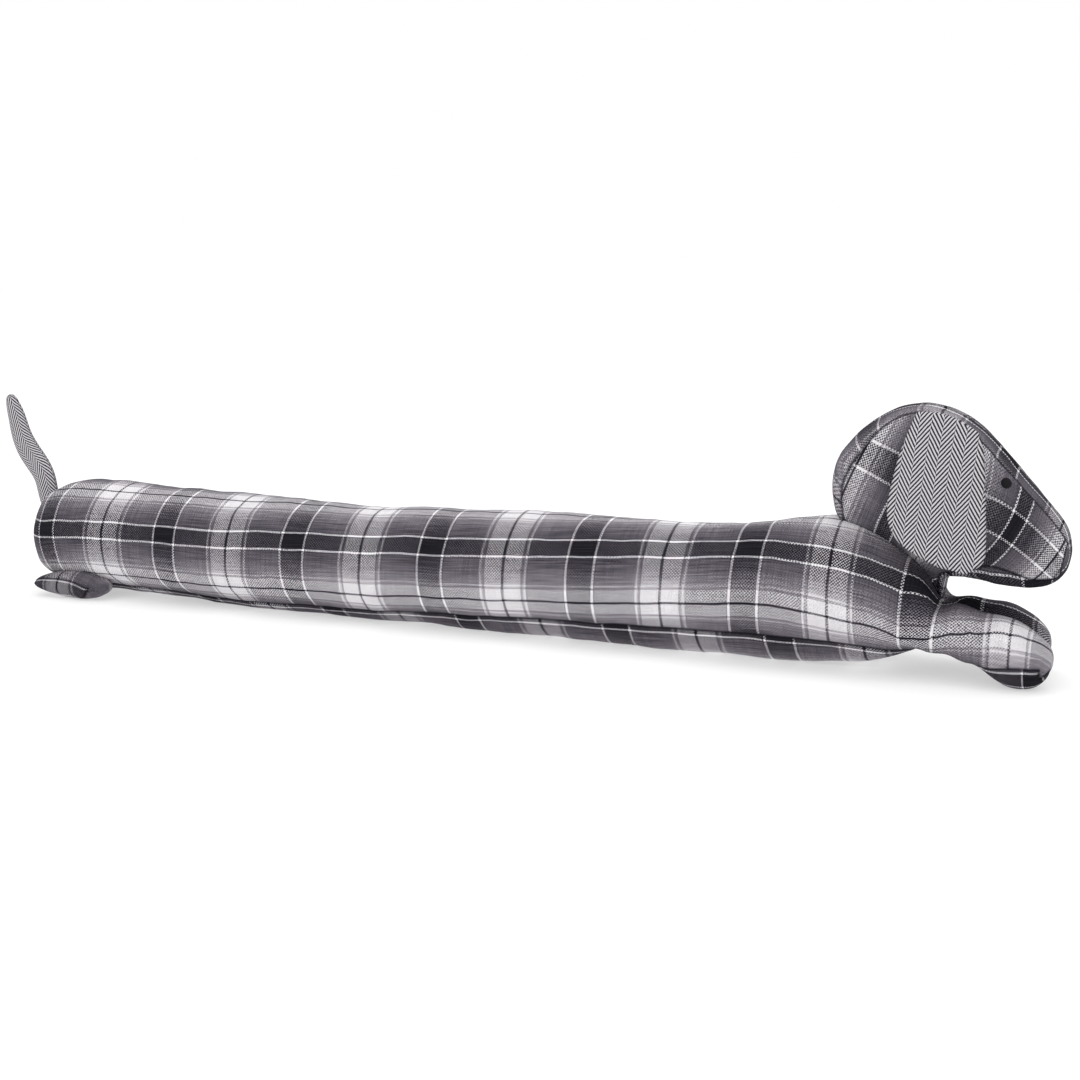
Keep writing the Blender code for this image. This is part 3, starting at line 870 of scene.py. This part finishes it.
def seam_points(mesh):
    """Points along the edges where two panels meet."""
    panels = {}
    for face in mesh.polygons:
        for key in face.edge_keys:
            panels.setdefault(key, set()).add(face.material_index)
    points = []
    for (start, end), found in panels.items():
        if len(found) > 1:
            first, last = mesh.vertices[start].co, mesh.vertices[end].co
            points += [first.copy(), first.lerp(last, 0.5), last.copy()]
    return points


def distances(mesh, points):
    """Each vertex's distance from the nearest of the points."""
    tree = KDTree(len(points))
    for index, point in enumerate(points):
        tree.insert(point, index)
    tree.balance()
    return np.array([tree.find(vert.co)[2] for vert in mesh.vertices])


def lumps(mesh, sizes):
    """How far the stuffing pushes each vertex out or lets it fall back."""
    spread = []
    for vert in mesh.vertices:
        push = 0.0
        for width, height in sizes:
            push += noise.noise(vert.co / width) * height
        spread.append(push)
    return np.array(spread)


def settle_seams(piece, seam, sizes=()):
    """Keep each vertex's distance from its nearest seam, draw the seams in and add the lumps."""
    mesh = piece.data
    far = distances(mesh, seam_points(mesh))
    layer = mesh.attributes.new("seam", "FLOAT", "POINT")
    layer.data.foreach_set("value", far.astype(np.float32))
    pull = seam.depth * np.exp(-far / seam.reach) - lumps(mesh, sizes)
    points = places_of(mesh) - normals_of(mesh) * pull[:, None]
    points[:, 2] = np.maximum(points[:, 2], 0.0)
    put_places(mesh, points)


def tree_of(piece):
    bpy.context.view_layer.update()
    return BVHTree.FromObject(piece, bpy.context.evaluated_depsgraph_get())


def tuck_in(piece, carrier, seam):
    """Draw the cloth in where it is sewn to the carrier."""
    tree = tree_of(carrier)
    mesh = piece.data
    found = [tree.find_nearest(vert.co) for vert in mesh.vertices]
    far = np.array([hit[3] for hit in found])
    inside = [(vert.co - hit[0]).dot(hit[1]) < 0 for vert, hit in zip(mesh.vertices, found)]
    far[np.array(inside)] = 0.0
    pull = seam.depth * np.exp(-far / seam.reach)
    put_places(mesh, places_of(mesh) - normals_of(mesh) * pull[:, None])


def seat_against(piece, carrier):
    """Cut a piece back to the sewing gap from the piece that carries it."""
    bpy.context.view_layer.update()
    grown = carrier.data.copy()
    put_places(grown, places_of(grown) + normals_of(grown) * SEWN_GAP)
    cutter = added("seat", grown)
    cut = piece.modifiers.new("seat", "BOOLEAN")
    cut.operation = "DIFFERENCE"
    cut.solver = "EXACT"
    cut.object = cutter
    applied(piece)
    bpy.data.objects.remove(cutter)


def hand_over(piece, node, material):
    """Give the piece its one cloth, shade it smooth, hang it from the root and hide the solid part
    that it stands for.
    """
    mesh = piece.data
    mesh.materials.clear()
    mesh.materials.append(material)
    one_cloth = np.zeros(len(mesh.polygons), dtype=np.int32)
    mesh.polygons.foreach_set("material_index", one_cloth)
    mesh.shade_smooth()
    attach(piece, "root")
    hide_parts(node)


def warped(degrees, seam):
    """The ring's angle, moved so that its seam point comes at the seam's own angle."""
    even = BODY_DEGREES[BODY_SEAM]
    if degrees <= even:
        return degrees * seam / even
    return 180 - (180 - degrees) * (180 - seam) / (180 - even)


def body_half(ring, seam, side):
    """Points and angles from the belly's middle up one side to the back's middle."""
    middle = (ring.low + ring.high) / 2
    half = (ring.high - ring.low) / 2
    points, angles = [], []
    for index, degrees in enumerate(BODY_DEGREES):
        turned = warped(degrees, seam)
        angle = math.radians(turned)
        pull = SEAM_DEPTH / MM / half if index == BODY_SEAM else 0.0
        across = ring.wide * math.sin(angle) * (1 - pull)
        height = -half * math.cos(angle) * (1 - pull)
        height += ring.rise * max(0.0, math.cos(angle)) ** DIP_POWER
        height -= ring.dip * max(0.0, -math.cos(angle)) ** DIP_POWER
        forward = ring.x + ring.lean * height / half
        points.append(Vector((forward, side * across, middle + height)) * MM)
        angles.append(turned)
    return points, angles


def leg_ring(ring, side):
    points, angles = [], []
    for index in range(LEG_POINTS):
        turned = LEG_START_DEGREES + index * 360 / LEG_POINTS + ring.roll
        angle = math.radians(turned)
        across = ring.out + ring.wide * math.sin(angle)
        height = ring.up - ring.tall * math.cos(angle)
        points.append(Vector((ring.x, side * across, height)) * MM)
        angles.append(turned)
    return points, angles


def run_lengths(points, start, stop, step):
    """Distances along the points from the first index to the last, by index."""
    lengths = {start: 0.0}
    for index in range(start, stop, step):
        following = index + step
        gap = (points[following % len(points)] - points[index % len(points)]).length
        lengths[following] = lengths[index] + gap
    return lengths


def read_off(rows, x, column):
    """A table's column at a place between its rows, which its first column gives."""
    return float(np.interp(x, [row[0] for row in rows], [getattr(row, column) for row in rows]))


def black_line_place(angles, lengths, black):
    """How far from the near seam the black line comes, on a ring."""
    keys = sorted(lengths)
    return float(np.interp(black, [angles[k] for k in keys], [lengths[k] for k in keys]))


def side_step(ring, following):
    """How far apart two rings of points are along the side."""
    gaps = [(following[k] - ring[k]).length for k in SIDE_POINTS]
    return sum(gaps) / len(gaps)


def reach_at(x):
    return read_off(REACHES, x, "cloth") * MM


def left_shift(x):
    share = (x - SHIFT_FROM_X) / (SHIFT_TO_X - SHIFT_FROM_X)
    return LEFT_LEG_SHIFT * min(max(share, 0.0), 1.0)


def make_body():
    """The stuffed tube of a top and a belly panel, which parts into the two forelegs."""
    cage = Cage()
    top = len(BODY_DEGREES) - 1
    far_seam = BODY_POINTS - BODY_SEAM
    rings, placed = [], []
    for row in BODY:
        near, near_angles = body_half(row, read_off(COURSES, row.x, "near"), RIGHT)
        distant, far_angles = body_half(row, read_off(COURSES, row.x, "far"), LEFT)
        points = near + distant[-2:0:-1]
        angles = near_angles + [360 - angle for angle in far_angles[-2:0:-1]]
        over = run_lengths(points, BODY_SEAM, far_seam, 1)
        black = black_line_place(angles, over, read_off(COURSES, row.x, "black"))
        under = run_lengths(points, BODY_SEAM, -BODY_SEAM, -1)
        rings.append((cage.ring(points), points))
        placed.append((reach_at(row.x), over, black, under, row))

    for index in range(REAR_RINGS - 1, -1, -1):
        gap = side_step(rings[index][1], rings[index + 1][1]) * REAR_STRETCH
        placed[index] = (placed[index + 1][0] - gap, *placed[index][1:])

    def place_on(index, k, panel):
        along, over, black, under, row = placed[index]
        if panel == TOP_PANEL:
            shift = left_shift(row.x) * max(0, k - top) / (far_seam - top)
            across = over[k] - black
            gathered = read_off(GATHERS, row.x, "times") - 1
            across += min(max(across, 0.0), GATHER_REACH) * gathered
            return along - CHECK_FROM_X - shift, across
        down = k if k <= BODY_SEAM else k - BODY_POINTS
        return along - CHECK_FROM_X - BELLY_SHIFT, BELLY_START * CHECK_SHORT - under[down]

    def panel_of(k):
        return TOP_PANEL if BODY_SEAM <= k < far_seam else UNDER_PANEL

    for index in range(len(rings) - 1):
        pair = (rings[index][0], rings[index + 1][0])
        cage.bridge(pair, lambda k, which, panel: place_on(index + which, k, panel), panel_of)
    close_rear(cage, rings[0], place_on)
    part_legs(cage, rings, place_on)
    return cage


def close_rear(cage, first, place_on):
    """Fill the rear end with a column of faces on each side of its middle."""
    verts, points = first
    top = len(BODY_DEGREES) - 1
    middle = {}
    for k in range(1, top):
        point = points[k].copy()
        point.y = 0
        point.x -= REAR_BULGE
        middle[k] = cage.bm.verts.new(point)

    def place(k, side, centre):
        index = k if side == RIGHT else BODY_POINTS - k
        index = min(max(index, BODY_SEAM), BODY_POINTS - BODY_SEAM)
        along, across = place_on(0, index, TOP_PANEL)
        spread = abs(points[k].y) if centre else 0.0
        return along - spread, across

    for side in (RIGHT, LEFT):
        for k in range(top):
            after = k + 1
            corners = []
            for step in (k, after):
                index = step if side == RIGHT else -step % BODY_POINTS
                corners.append((verts[index], place(step, side, False)))
            if after < top:
                corners.append((middle[after], place(after, side, True)))
            if k > 0:
                corners.append((middle[k], place(k, side, True)))
            cage.face([vert for vert, _ in corners], [spot for _, spot in corners], TOP_PANEL)


def part_legs(cage, rings, place_on):
    """Part the last ring along the crotch, and lead each half into its paw."""
    last, points = rings[-1]
    top = len(BODY_DEGREES) - 1
    crotch = []
    for step in range(1, CROTCH_POINTS + 1):
        share = step / (CROTCH_POINTS + 1)
        crotch.append(cage.bm.verts.new(points[top].lerp(points[0], share)))
    right_half = last[:top + 1]
    left_half = [last[0]] + last[:top - 1:-1]
    for side, half, seam, rows in (
        (RIGHT, right_half, BODY_SEAM, RIGHT_LEG),
        (LEFT, left_half, BODY_POINTS - BODY_SEAM, LEFT_LEG),
    ):
        start = place_on(len(rings) - 1, seam, TOP_PANEL)[1]
        make_leg(cage, half + crotch, side, rows, start)


def leg_lengths(points):
    """Distances from the outer seam to the inner one, over the leg and under it."""
    outer, inner = LEG_SEAMS
    return run_lengths(points, outer, inner, 1), run_lengths(points, outer, inner - LEG_POINTS, -1)


def make_leg(cage, ring, side, rows, start):
    """One foreleg, from a half of the body's last ring to the paw."""
    outer, inner = LEG_SEAMS

    def place(spot, k, panel):
        x, (over, under), start = spot
        along = reach_at(x) - (left_shift(x) if side == LEFT else 0.0)
        down = k if k <= outer else k - LEG_POINTS
        if panel == TOP_PANEL:
            length = over[k] if k in over else -under[down]
            return along - CHECK_FROM_X, start - side * length
        return along - PAW_LINE_X + CHECK_LONG / 2, PAW_START * CHECK_SHORT + under[down]

    spot = (BODY[-1].x, leg_lengths([vert.co for vert in ring]), start)
    for row in rows:
        points, angles = leg_ring(row, side)
        lengths = leg_lengths(points)
        start = side * black_line_place(angles, lengths[0], row.black)
        if side == LEFT:
            start += CHECK_SHORT / 2
        spots = (spot, (row.x, lengths, start))
        tops = range(outer, inner)
        if row == rows[-1]:
            tops = [k for k in range(LEG_POINTS) if k not in TOE_FACES]
        verts = cage.ring(points)
        cage.bridge(
            (ring, verts),
            lambda k, which, panel: place(spots[which], k, panel),
            lambda k: TOP_PANEL if k in tops else SOLE,
        )
        ring, spot = verts, spots[1]
    cage.face(ring, [place(spot, k, TOP_PANEL) for k in range(LEG_POINTS)], TOP_PANEL)


def head_points(row):
    """A ring across the head, from under the chin over the right cheek to the crown and back."""
    inner = Vector((row.inner_x, 0, row.inner_z))
    outer = Vector((row.outer_x, 0, row.outer_z))
    outline = [(p.height, getattr(row, p.of) * p.share) for p in HEAD_OUTLINE]
    low, high = row.low / 100, row.high / 100
    jaw = max(JAW, low * JAW_SHARE)
    brow = (TEMPLE + high) / 2
    crown = (2 + high) / 3
    heights = (0.0, low * CHIN_SHARE, low, jaw, CHEEK, TEMPLE, brow, high, crown, 1.0)
    half = []
    for height in heights:
        across = np.interp(height, [h for h, _ in outline], [a for _, a in outline])
        point = inner.lerp(outer, height)
        half.append(Vector((point.x, -across, point.z)) * MM)
    return half + [Vector((p.x, -p.y, p.z)) for p in reversed(half[1:-1])]


def cheek_place(point):
    """The cheek panel's cloth, whose threads lie aslant."""
    x, z = point.x / MM, point.z / MM
    slant, tilt = math.radians(CHEEK_SLANT), math.radians(CHEEK_TILT)
    planar = x * math.sin(slant) - z * math.cos(slant)
    rise = x * math.sin(tilt) + z * math.cos(tilt)
    if x > SNOUT_BEND_X - CHEEK_REACH:
        share = min((x - SNOUT_BEND_X) / CHEEK_REACH + 1, 1.0)
        bow = CHEEK_BOW if rise > CHEEK_BAND else LOW_CHEEK_BOW
        planar += bow * (rise - CHEEK_BAND) ** 2 * share
    across = read_off(CHEEK_LINES, planar, "cloth")
    rise += SNOUT_BEND * max(0.0, x - SNOUT_BEND_X) ** 2
    # painted shade: below the neck line the cloth is moved so that darker bands of the check lie
    # under the head
    below = max(NECK_PLAIN - rise, 0.0)
    rise = NECK_PLAIN + abs(rise - NECK_PLAIN)
    share = min(max((x - NECK_FROM_X) / NECK_REACH, 0.0), 1.0)
    across += min(below * NECK_SHADE_LEAN, NECK_SHADE_SHIFT) * share
    return (rise - CHEEK_BAND) * MM + CHECK_LONG / 2, across * MM


def make_head():
    """Two cheek panels and a gusset that runs over the head, round the nose and under the chin."""
    cage = Cage()
    count = HEAD_POINTS
    rings = [head_points(row) for row in HEAD]
    crown = [0.0]
    for before, after in zip(rings, rings[1:]):
        crown.append(crown[-1] + (after[CROWN] - before[CROWN]).length)
    nose = crown[NOSE_SEAM_RING]
    chin = {NOSE_SEAM_RING: nose + (rings[NOSE_SEAM_RING][CROWN] - rings[NOSE_SEAM_RING][0]).length}
    for index in range(NOSE_SEAM_RING - 1, -1, -1):
        chin[index] = chin[index + 1] + (rings[index][0] - rings[index + 1][0]).length

    def gusset(length, lateral):
        return (length - GUSSET_CROWN) / GUSSET_SCALE, CHECK_SHORT / 2 + lateral

    def place(index, k, panel):
        k = k % count
        point = rings[index][k]
        if panel == SIDE_PANEL:
            return cheek_place(point)
        if index >= NOSE_SEAM_RING:
            top = rings[NOSE_SEAM_RING][CROWN].z
            low = rings[NOSE_SEAM_RING][0].z
            share = min(max((top - point.z) / (top - low), 0.0), 1.0)
            return gusset(nose + (top - point.z), point.y + CHIN_SHIFT * share ** CHIN_POWER)
        if CROWN_SEAM <= k <= count - CROWN_SEAM:
            return gusset(crown[index], point.y)
        return gusset(chin[index], point.y + CHIN_SHIFT)

    def panel_at(index, k):
        upper = k if k < CROWN else count - 1 - k
        if index >= NOSE_SEAM_RING:
            return GUSSET
        return SIDE_PANEL if CHIN_SEAM <= upper < CROWN_SEAM else GUSSET

    cage.loft(rings, place, panel_at, lambda index, k: place(index, k, GUSSET), GUSSET)
    return cage


def make_tail():
    """A padded tube of herringbone cloth with a seam along its front and its back."""
    cage = Cage()
    rings, runs = [], [0.0]
    for row in TAIL:
        forward = math.radians(row.turn - 90)
        across = Vector((math.cos(forward), 0, math.sin(forward)))
        ring = []
        for index in range(TAIL_POINTS):
            angle = math.tau * index / TAIL_POINTS
            side = across * row.half * math.cos(angle)
            side.y = row.thick * math.sin(angle)
            ring.append((Vector((row.x, 0, row.z)) + side) * MM)
        rings.append(ring)
    for before, after in zip(TAIL, TAIL[1:]):
        runs.append(runs[-1] + math.hypot(after.x - before.x, after.z - before.z) * MM)
    half = TAIL_POINTS // 2

    def place(index, k, panel):
        lengths = run_lengths(rings[index], 0, TAIL_POINTS, 1)
        width = lengths[half]
        across = lengths[k] if panel == TOP_PANEL else lengths[TAIL_POINTS] - lengths[k]
        return runs[index] * TAIL_CLOTH, (across - width * TAIL_RIDGE) * TAIL_CLOTH

    def panel_at(index, k):
        return TOP_PANEL if k < half else UNDER_PANEL

    def end_place(index, k):
        return place(index, k, TOP_PANEL if k <= half else UNDER_PANEL)

    cage.loft(rings, place, panel_at, end_place, TOP_PANEL)
    return cage


def foot_angles(row):
    """The sole's two edges and its middle, and the rest of the ring in even steps."""
    rest = (360 + row.below - row.above) / (FOOT_POINTS - SOLE_FACES)
    angles = [row.below, (row.above + row.below) / 2]
    return angles + [row.above + rest * step for step in range(FOOT_POINTS - SOLE_FACES)]


def make_foot(side):
    """An oval filled pad with a seam all round."""
    cage = Cage()
    rings = []
    for row in FOOT:
        middle = (row.low + row.high) / 2
        tall = (row.high - row.low) / 2
        ring = []
        for degrees in foot_angles(row):
            angle = math.radians(degrees)
            across = row.out + row.wide * math.cos(angle)
            ring.append(Vector((row.x, side * across, middle + tall * math.sin(angle))) * MM)
        rings.append(ring)

    def place(index, k, panel):
        x = rings[index][k % FOOT_POINTS].x
        along = min((x - FOOT_BLACK_X) * FOOT_CLOTH, FOOT_LAST)
        past = index > SOLE_RINGS
        ring = rings[min(index, SOLE_RINGS)]
        start = FOOT_START * CHECK_SHORT - FOOT_INSET * past
        down = run_lengths(ring, SOLE_FACES, 0, -1)
        if k < SOLE_FACES:
            return along, start + (-down[k] if past else down[k])
        up = run_lengths(ring, SOLE_FACES, FOOT_POINTS, 1)
        return along, start - min(up[k], up[FOOT_POINTS] - up[k] + down[0])

    def panel_at(index, k):
        return SOLE if k < SOLE_FACES and index < SOLE_RINGS else TOP_PANEL

    def end_place(index, k):
        return place(index, max(k, SOLE_FACES), TOP_PANEL)

    cage.loft(rings, place, panel_at, end_place, TOP_PANEL)
    return cage


def ear_cloth(point):
    """The ear's cloth, whose columns lean a little."""
    lean = math.radians(EAR_LEAN)
    up = point.z * math.cos(lean) + point.x * math.sin(lean)
    across = point.x * math.cos(lean) - point.z * math.sin(lean)
    return up, across - EAR_PEAK


def from_the_side(surface, side, x, z):
    """Where a line from the dog's side meets the surface, and the surface's direction there."""
    return surface.ray_cast(Vector((x, side * FAR, z)), Vector((0, -side, 0)))[:2]


def make_ear(side, head):
    """Two layers of herringbone cloth, lightly padded and sewn round the edge."""
    cage = Cage()
    surface = tree_of(head)
    outside, inside = [], []
    last_row = len(EAR) - 1
    for index, row in enumerate(EAR):
        back = Vector((row.back_x, 0, row.back_z)) * MM
        front = Vector((row.front_x, 0, row.front_z)) * MM
        outside.append([])
        inside.append([])
        for column in range(EAR_COLUMNS):
            share = column / (EAR_COLUMNS - 1)
            place = back.lerp(front, share)
            place.z += row.arch * MM * math.sin(math.pi * share)
            if side == LEFT:
                place.z -= LEFT_EAR_DROP
            cheek, _ = from_the_side(surface, side, place.x, place.z)
            out = row.out * MM
            if cheek is not None:
                out = max(out, abs(cheek.y) + EAR_GAP + EAR_HALF_THICKNESS)
            place.y = side * out
            if index == 0:
                seam, normal, _, _ = surface.find_nearest(place)
                place = seam + normal * EAR_SEAM_GAP
            edge = index in (0, last_row) or column in (0, EAR_COLUMNS - 1)
            half = Vector((0, 0.0 if edge else side * EAR_HALF_THICKNESS, 0))
            outer = cage.bm.verts.new(place + half)
            outside[-1].append(outer)
            inside[-1].append(outer if edge else cage.bm.verts.new(place - half))

    for panel, layer in ((TOP_PANEL, outside), (UNDER_PANEL, inside)):
        for row, following in zip(layer, layer[1:]):
            for column in range(EAR_COLUMNS - 1):
                corners = (row[column], row[column + 1], following[column + 1], following[column])
                cage.face(corners, [ear_cloth(vert.co) for vert in corners], panel)
    return cage


def make_eye(name, side, head):
    """A low round dome of black thread."""
    place, normal = from_the_side(tree_of(head), side, EYE_X, EYE_Z)
    turn = normal.to_track_quat("Z", "Y")
    bm = bmesh.new()
    bmesh.ops.create_uvsphere(
        bm, u_segments=EYE_SEGMENTS, v_segments=EYE_RINGS, radius=EYE_DIAMETER / 2
    )
    for vert in bm.verts:
        vert.co.z *= 2 * EYE_HEIGHT / EYE_DIAMETER
        vert.co = place + turn @ vert.co
    return added(name, mesh_from(name, bm))


def make_studio():
    """A white floor that runs to the horizon, soft light all round and a gentle light in front."""
    bm = bmesh.new()
    bmesh.ops.create_circle(bm, cap_ends=True, segments=FLOOR_SIDES, radius=FLOOR_RADIUS)
    floor = added("studio_floor", mesh_from("studio_floor", bm))
    paint = Paint("studio_floor")
    paint.shader.inputs["Base Color"].default_value = grey(FLOOR_GREY)
    paint.shader.inputs["Roughness"].default_value = 1.0
    paint.shader.inputs["Specular IOR Level"].default_value = 0.0
    paint.shader.inputs["Emission Color"].default_value = WHITE
    paint.shader.inputs["Emission Strength"].default_value = FLOOR_GLOW
    floor.data.materials.append(paint.material)

    world = bpy.data.worlds.new("studio")
    world.use_nodes = True
    sky = world.node_tree.nodes["Background"]
    sky.inputs["Color"].default_value = WHITE
    sky.inputs["Strength"].default_value = SKY_STRENGTH
    bpy.context.scene.world = world

    for lamp in LAMPS:
        light = bpy.data.lights.new(lamp.name, "AREA")
        light.size = lamp.size
        light.energy = lamp.energy
        aimed(lamp.name, light, lamp.place, LAMP_AIM)


def make_camera():
    turn, rise = math.radians(CAMERA_TURN), math.radians(CAMERA_RISE)
    level = math.cos(rise)
    back = Vector((math.sin(turn) * level, -math.cos(turn) * level, math.sin(rise)))
    camera = bpy.data.cameras.new("camera")
    camera.lens = CAMERA_LENS
    place = CAMERA_TARGET + back * CAMERA_DISTANCE
    bpy.context.scene.camera = aimed("camera", camera, place, CAMERA_TARGET)
    bpy.context.scene.view_settings.view_transform = "Standard"


def main():
    make_camera()
    make_studio()
    check = check_cloth("shadow_check_cloth")
    herringbone = herringbone_cloth("herringbone_cloth")
    thread = thread_finish("black_thread")

    body = rounded_object("body_cover", make_body(), ROUNDING_LEVELS)
    head = rounded_object("head_cover", make_head(), ROUNDING_LEVELS)
    settle_seams(body, FILLED_SEAM, BODY_LUMPS)
    settle_seams(head, FILLED_SEAM, HEAD_LUMPS)
    tuck_in(head, body, NECK_TUCK)
    lay_flat(head, (SIDE_PANEL,), cheek_place)
    ears = {}
    for name, side in SIDES:
        ears[side] = rounded_object(f"ear_{name}_cover", make_ear(side, head), EAR_ROUNDING_LEVELS)
        lay_flat(ears[side], (TOP_PANEL, UNDER_PANEL), ear_cloth)
    seat_against(head, body)
    tail = rounded_object("tail_cover", make_tail(), ROUNDING_LEVELS)
    settle_seams(tail, TAIL_SEAM)
    seat_against(tail, body)
    hand_over(body, "body", check)
    hand_over(head, "head", check)
    hand_over(tail, "tail", herringbone)
    for name, side in SIDES:
        settle_seams(ears[side], EAR_SEAM)
        hand_over(ears[side], f"ear_{name}", herringbone)
        foot = rounded_object(f"foot_{name}_cover", make_foot(side), ROUNDING_LEVELS)
        settle_seams(foot, FOOT_SEAM)
        seat_against(foot, body)
        hand_over(foot, f"foot_{name}", check)
        eye = make_eye(f"eye_{name}_stitches", side, head)
        hand_over(eye, f"eye_{name}", thread)


main()
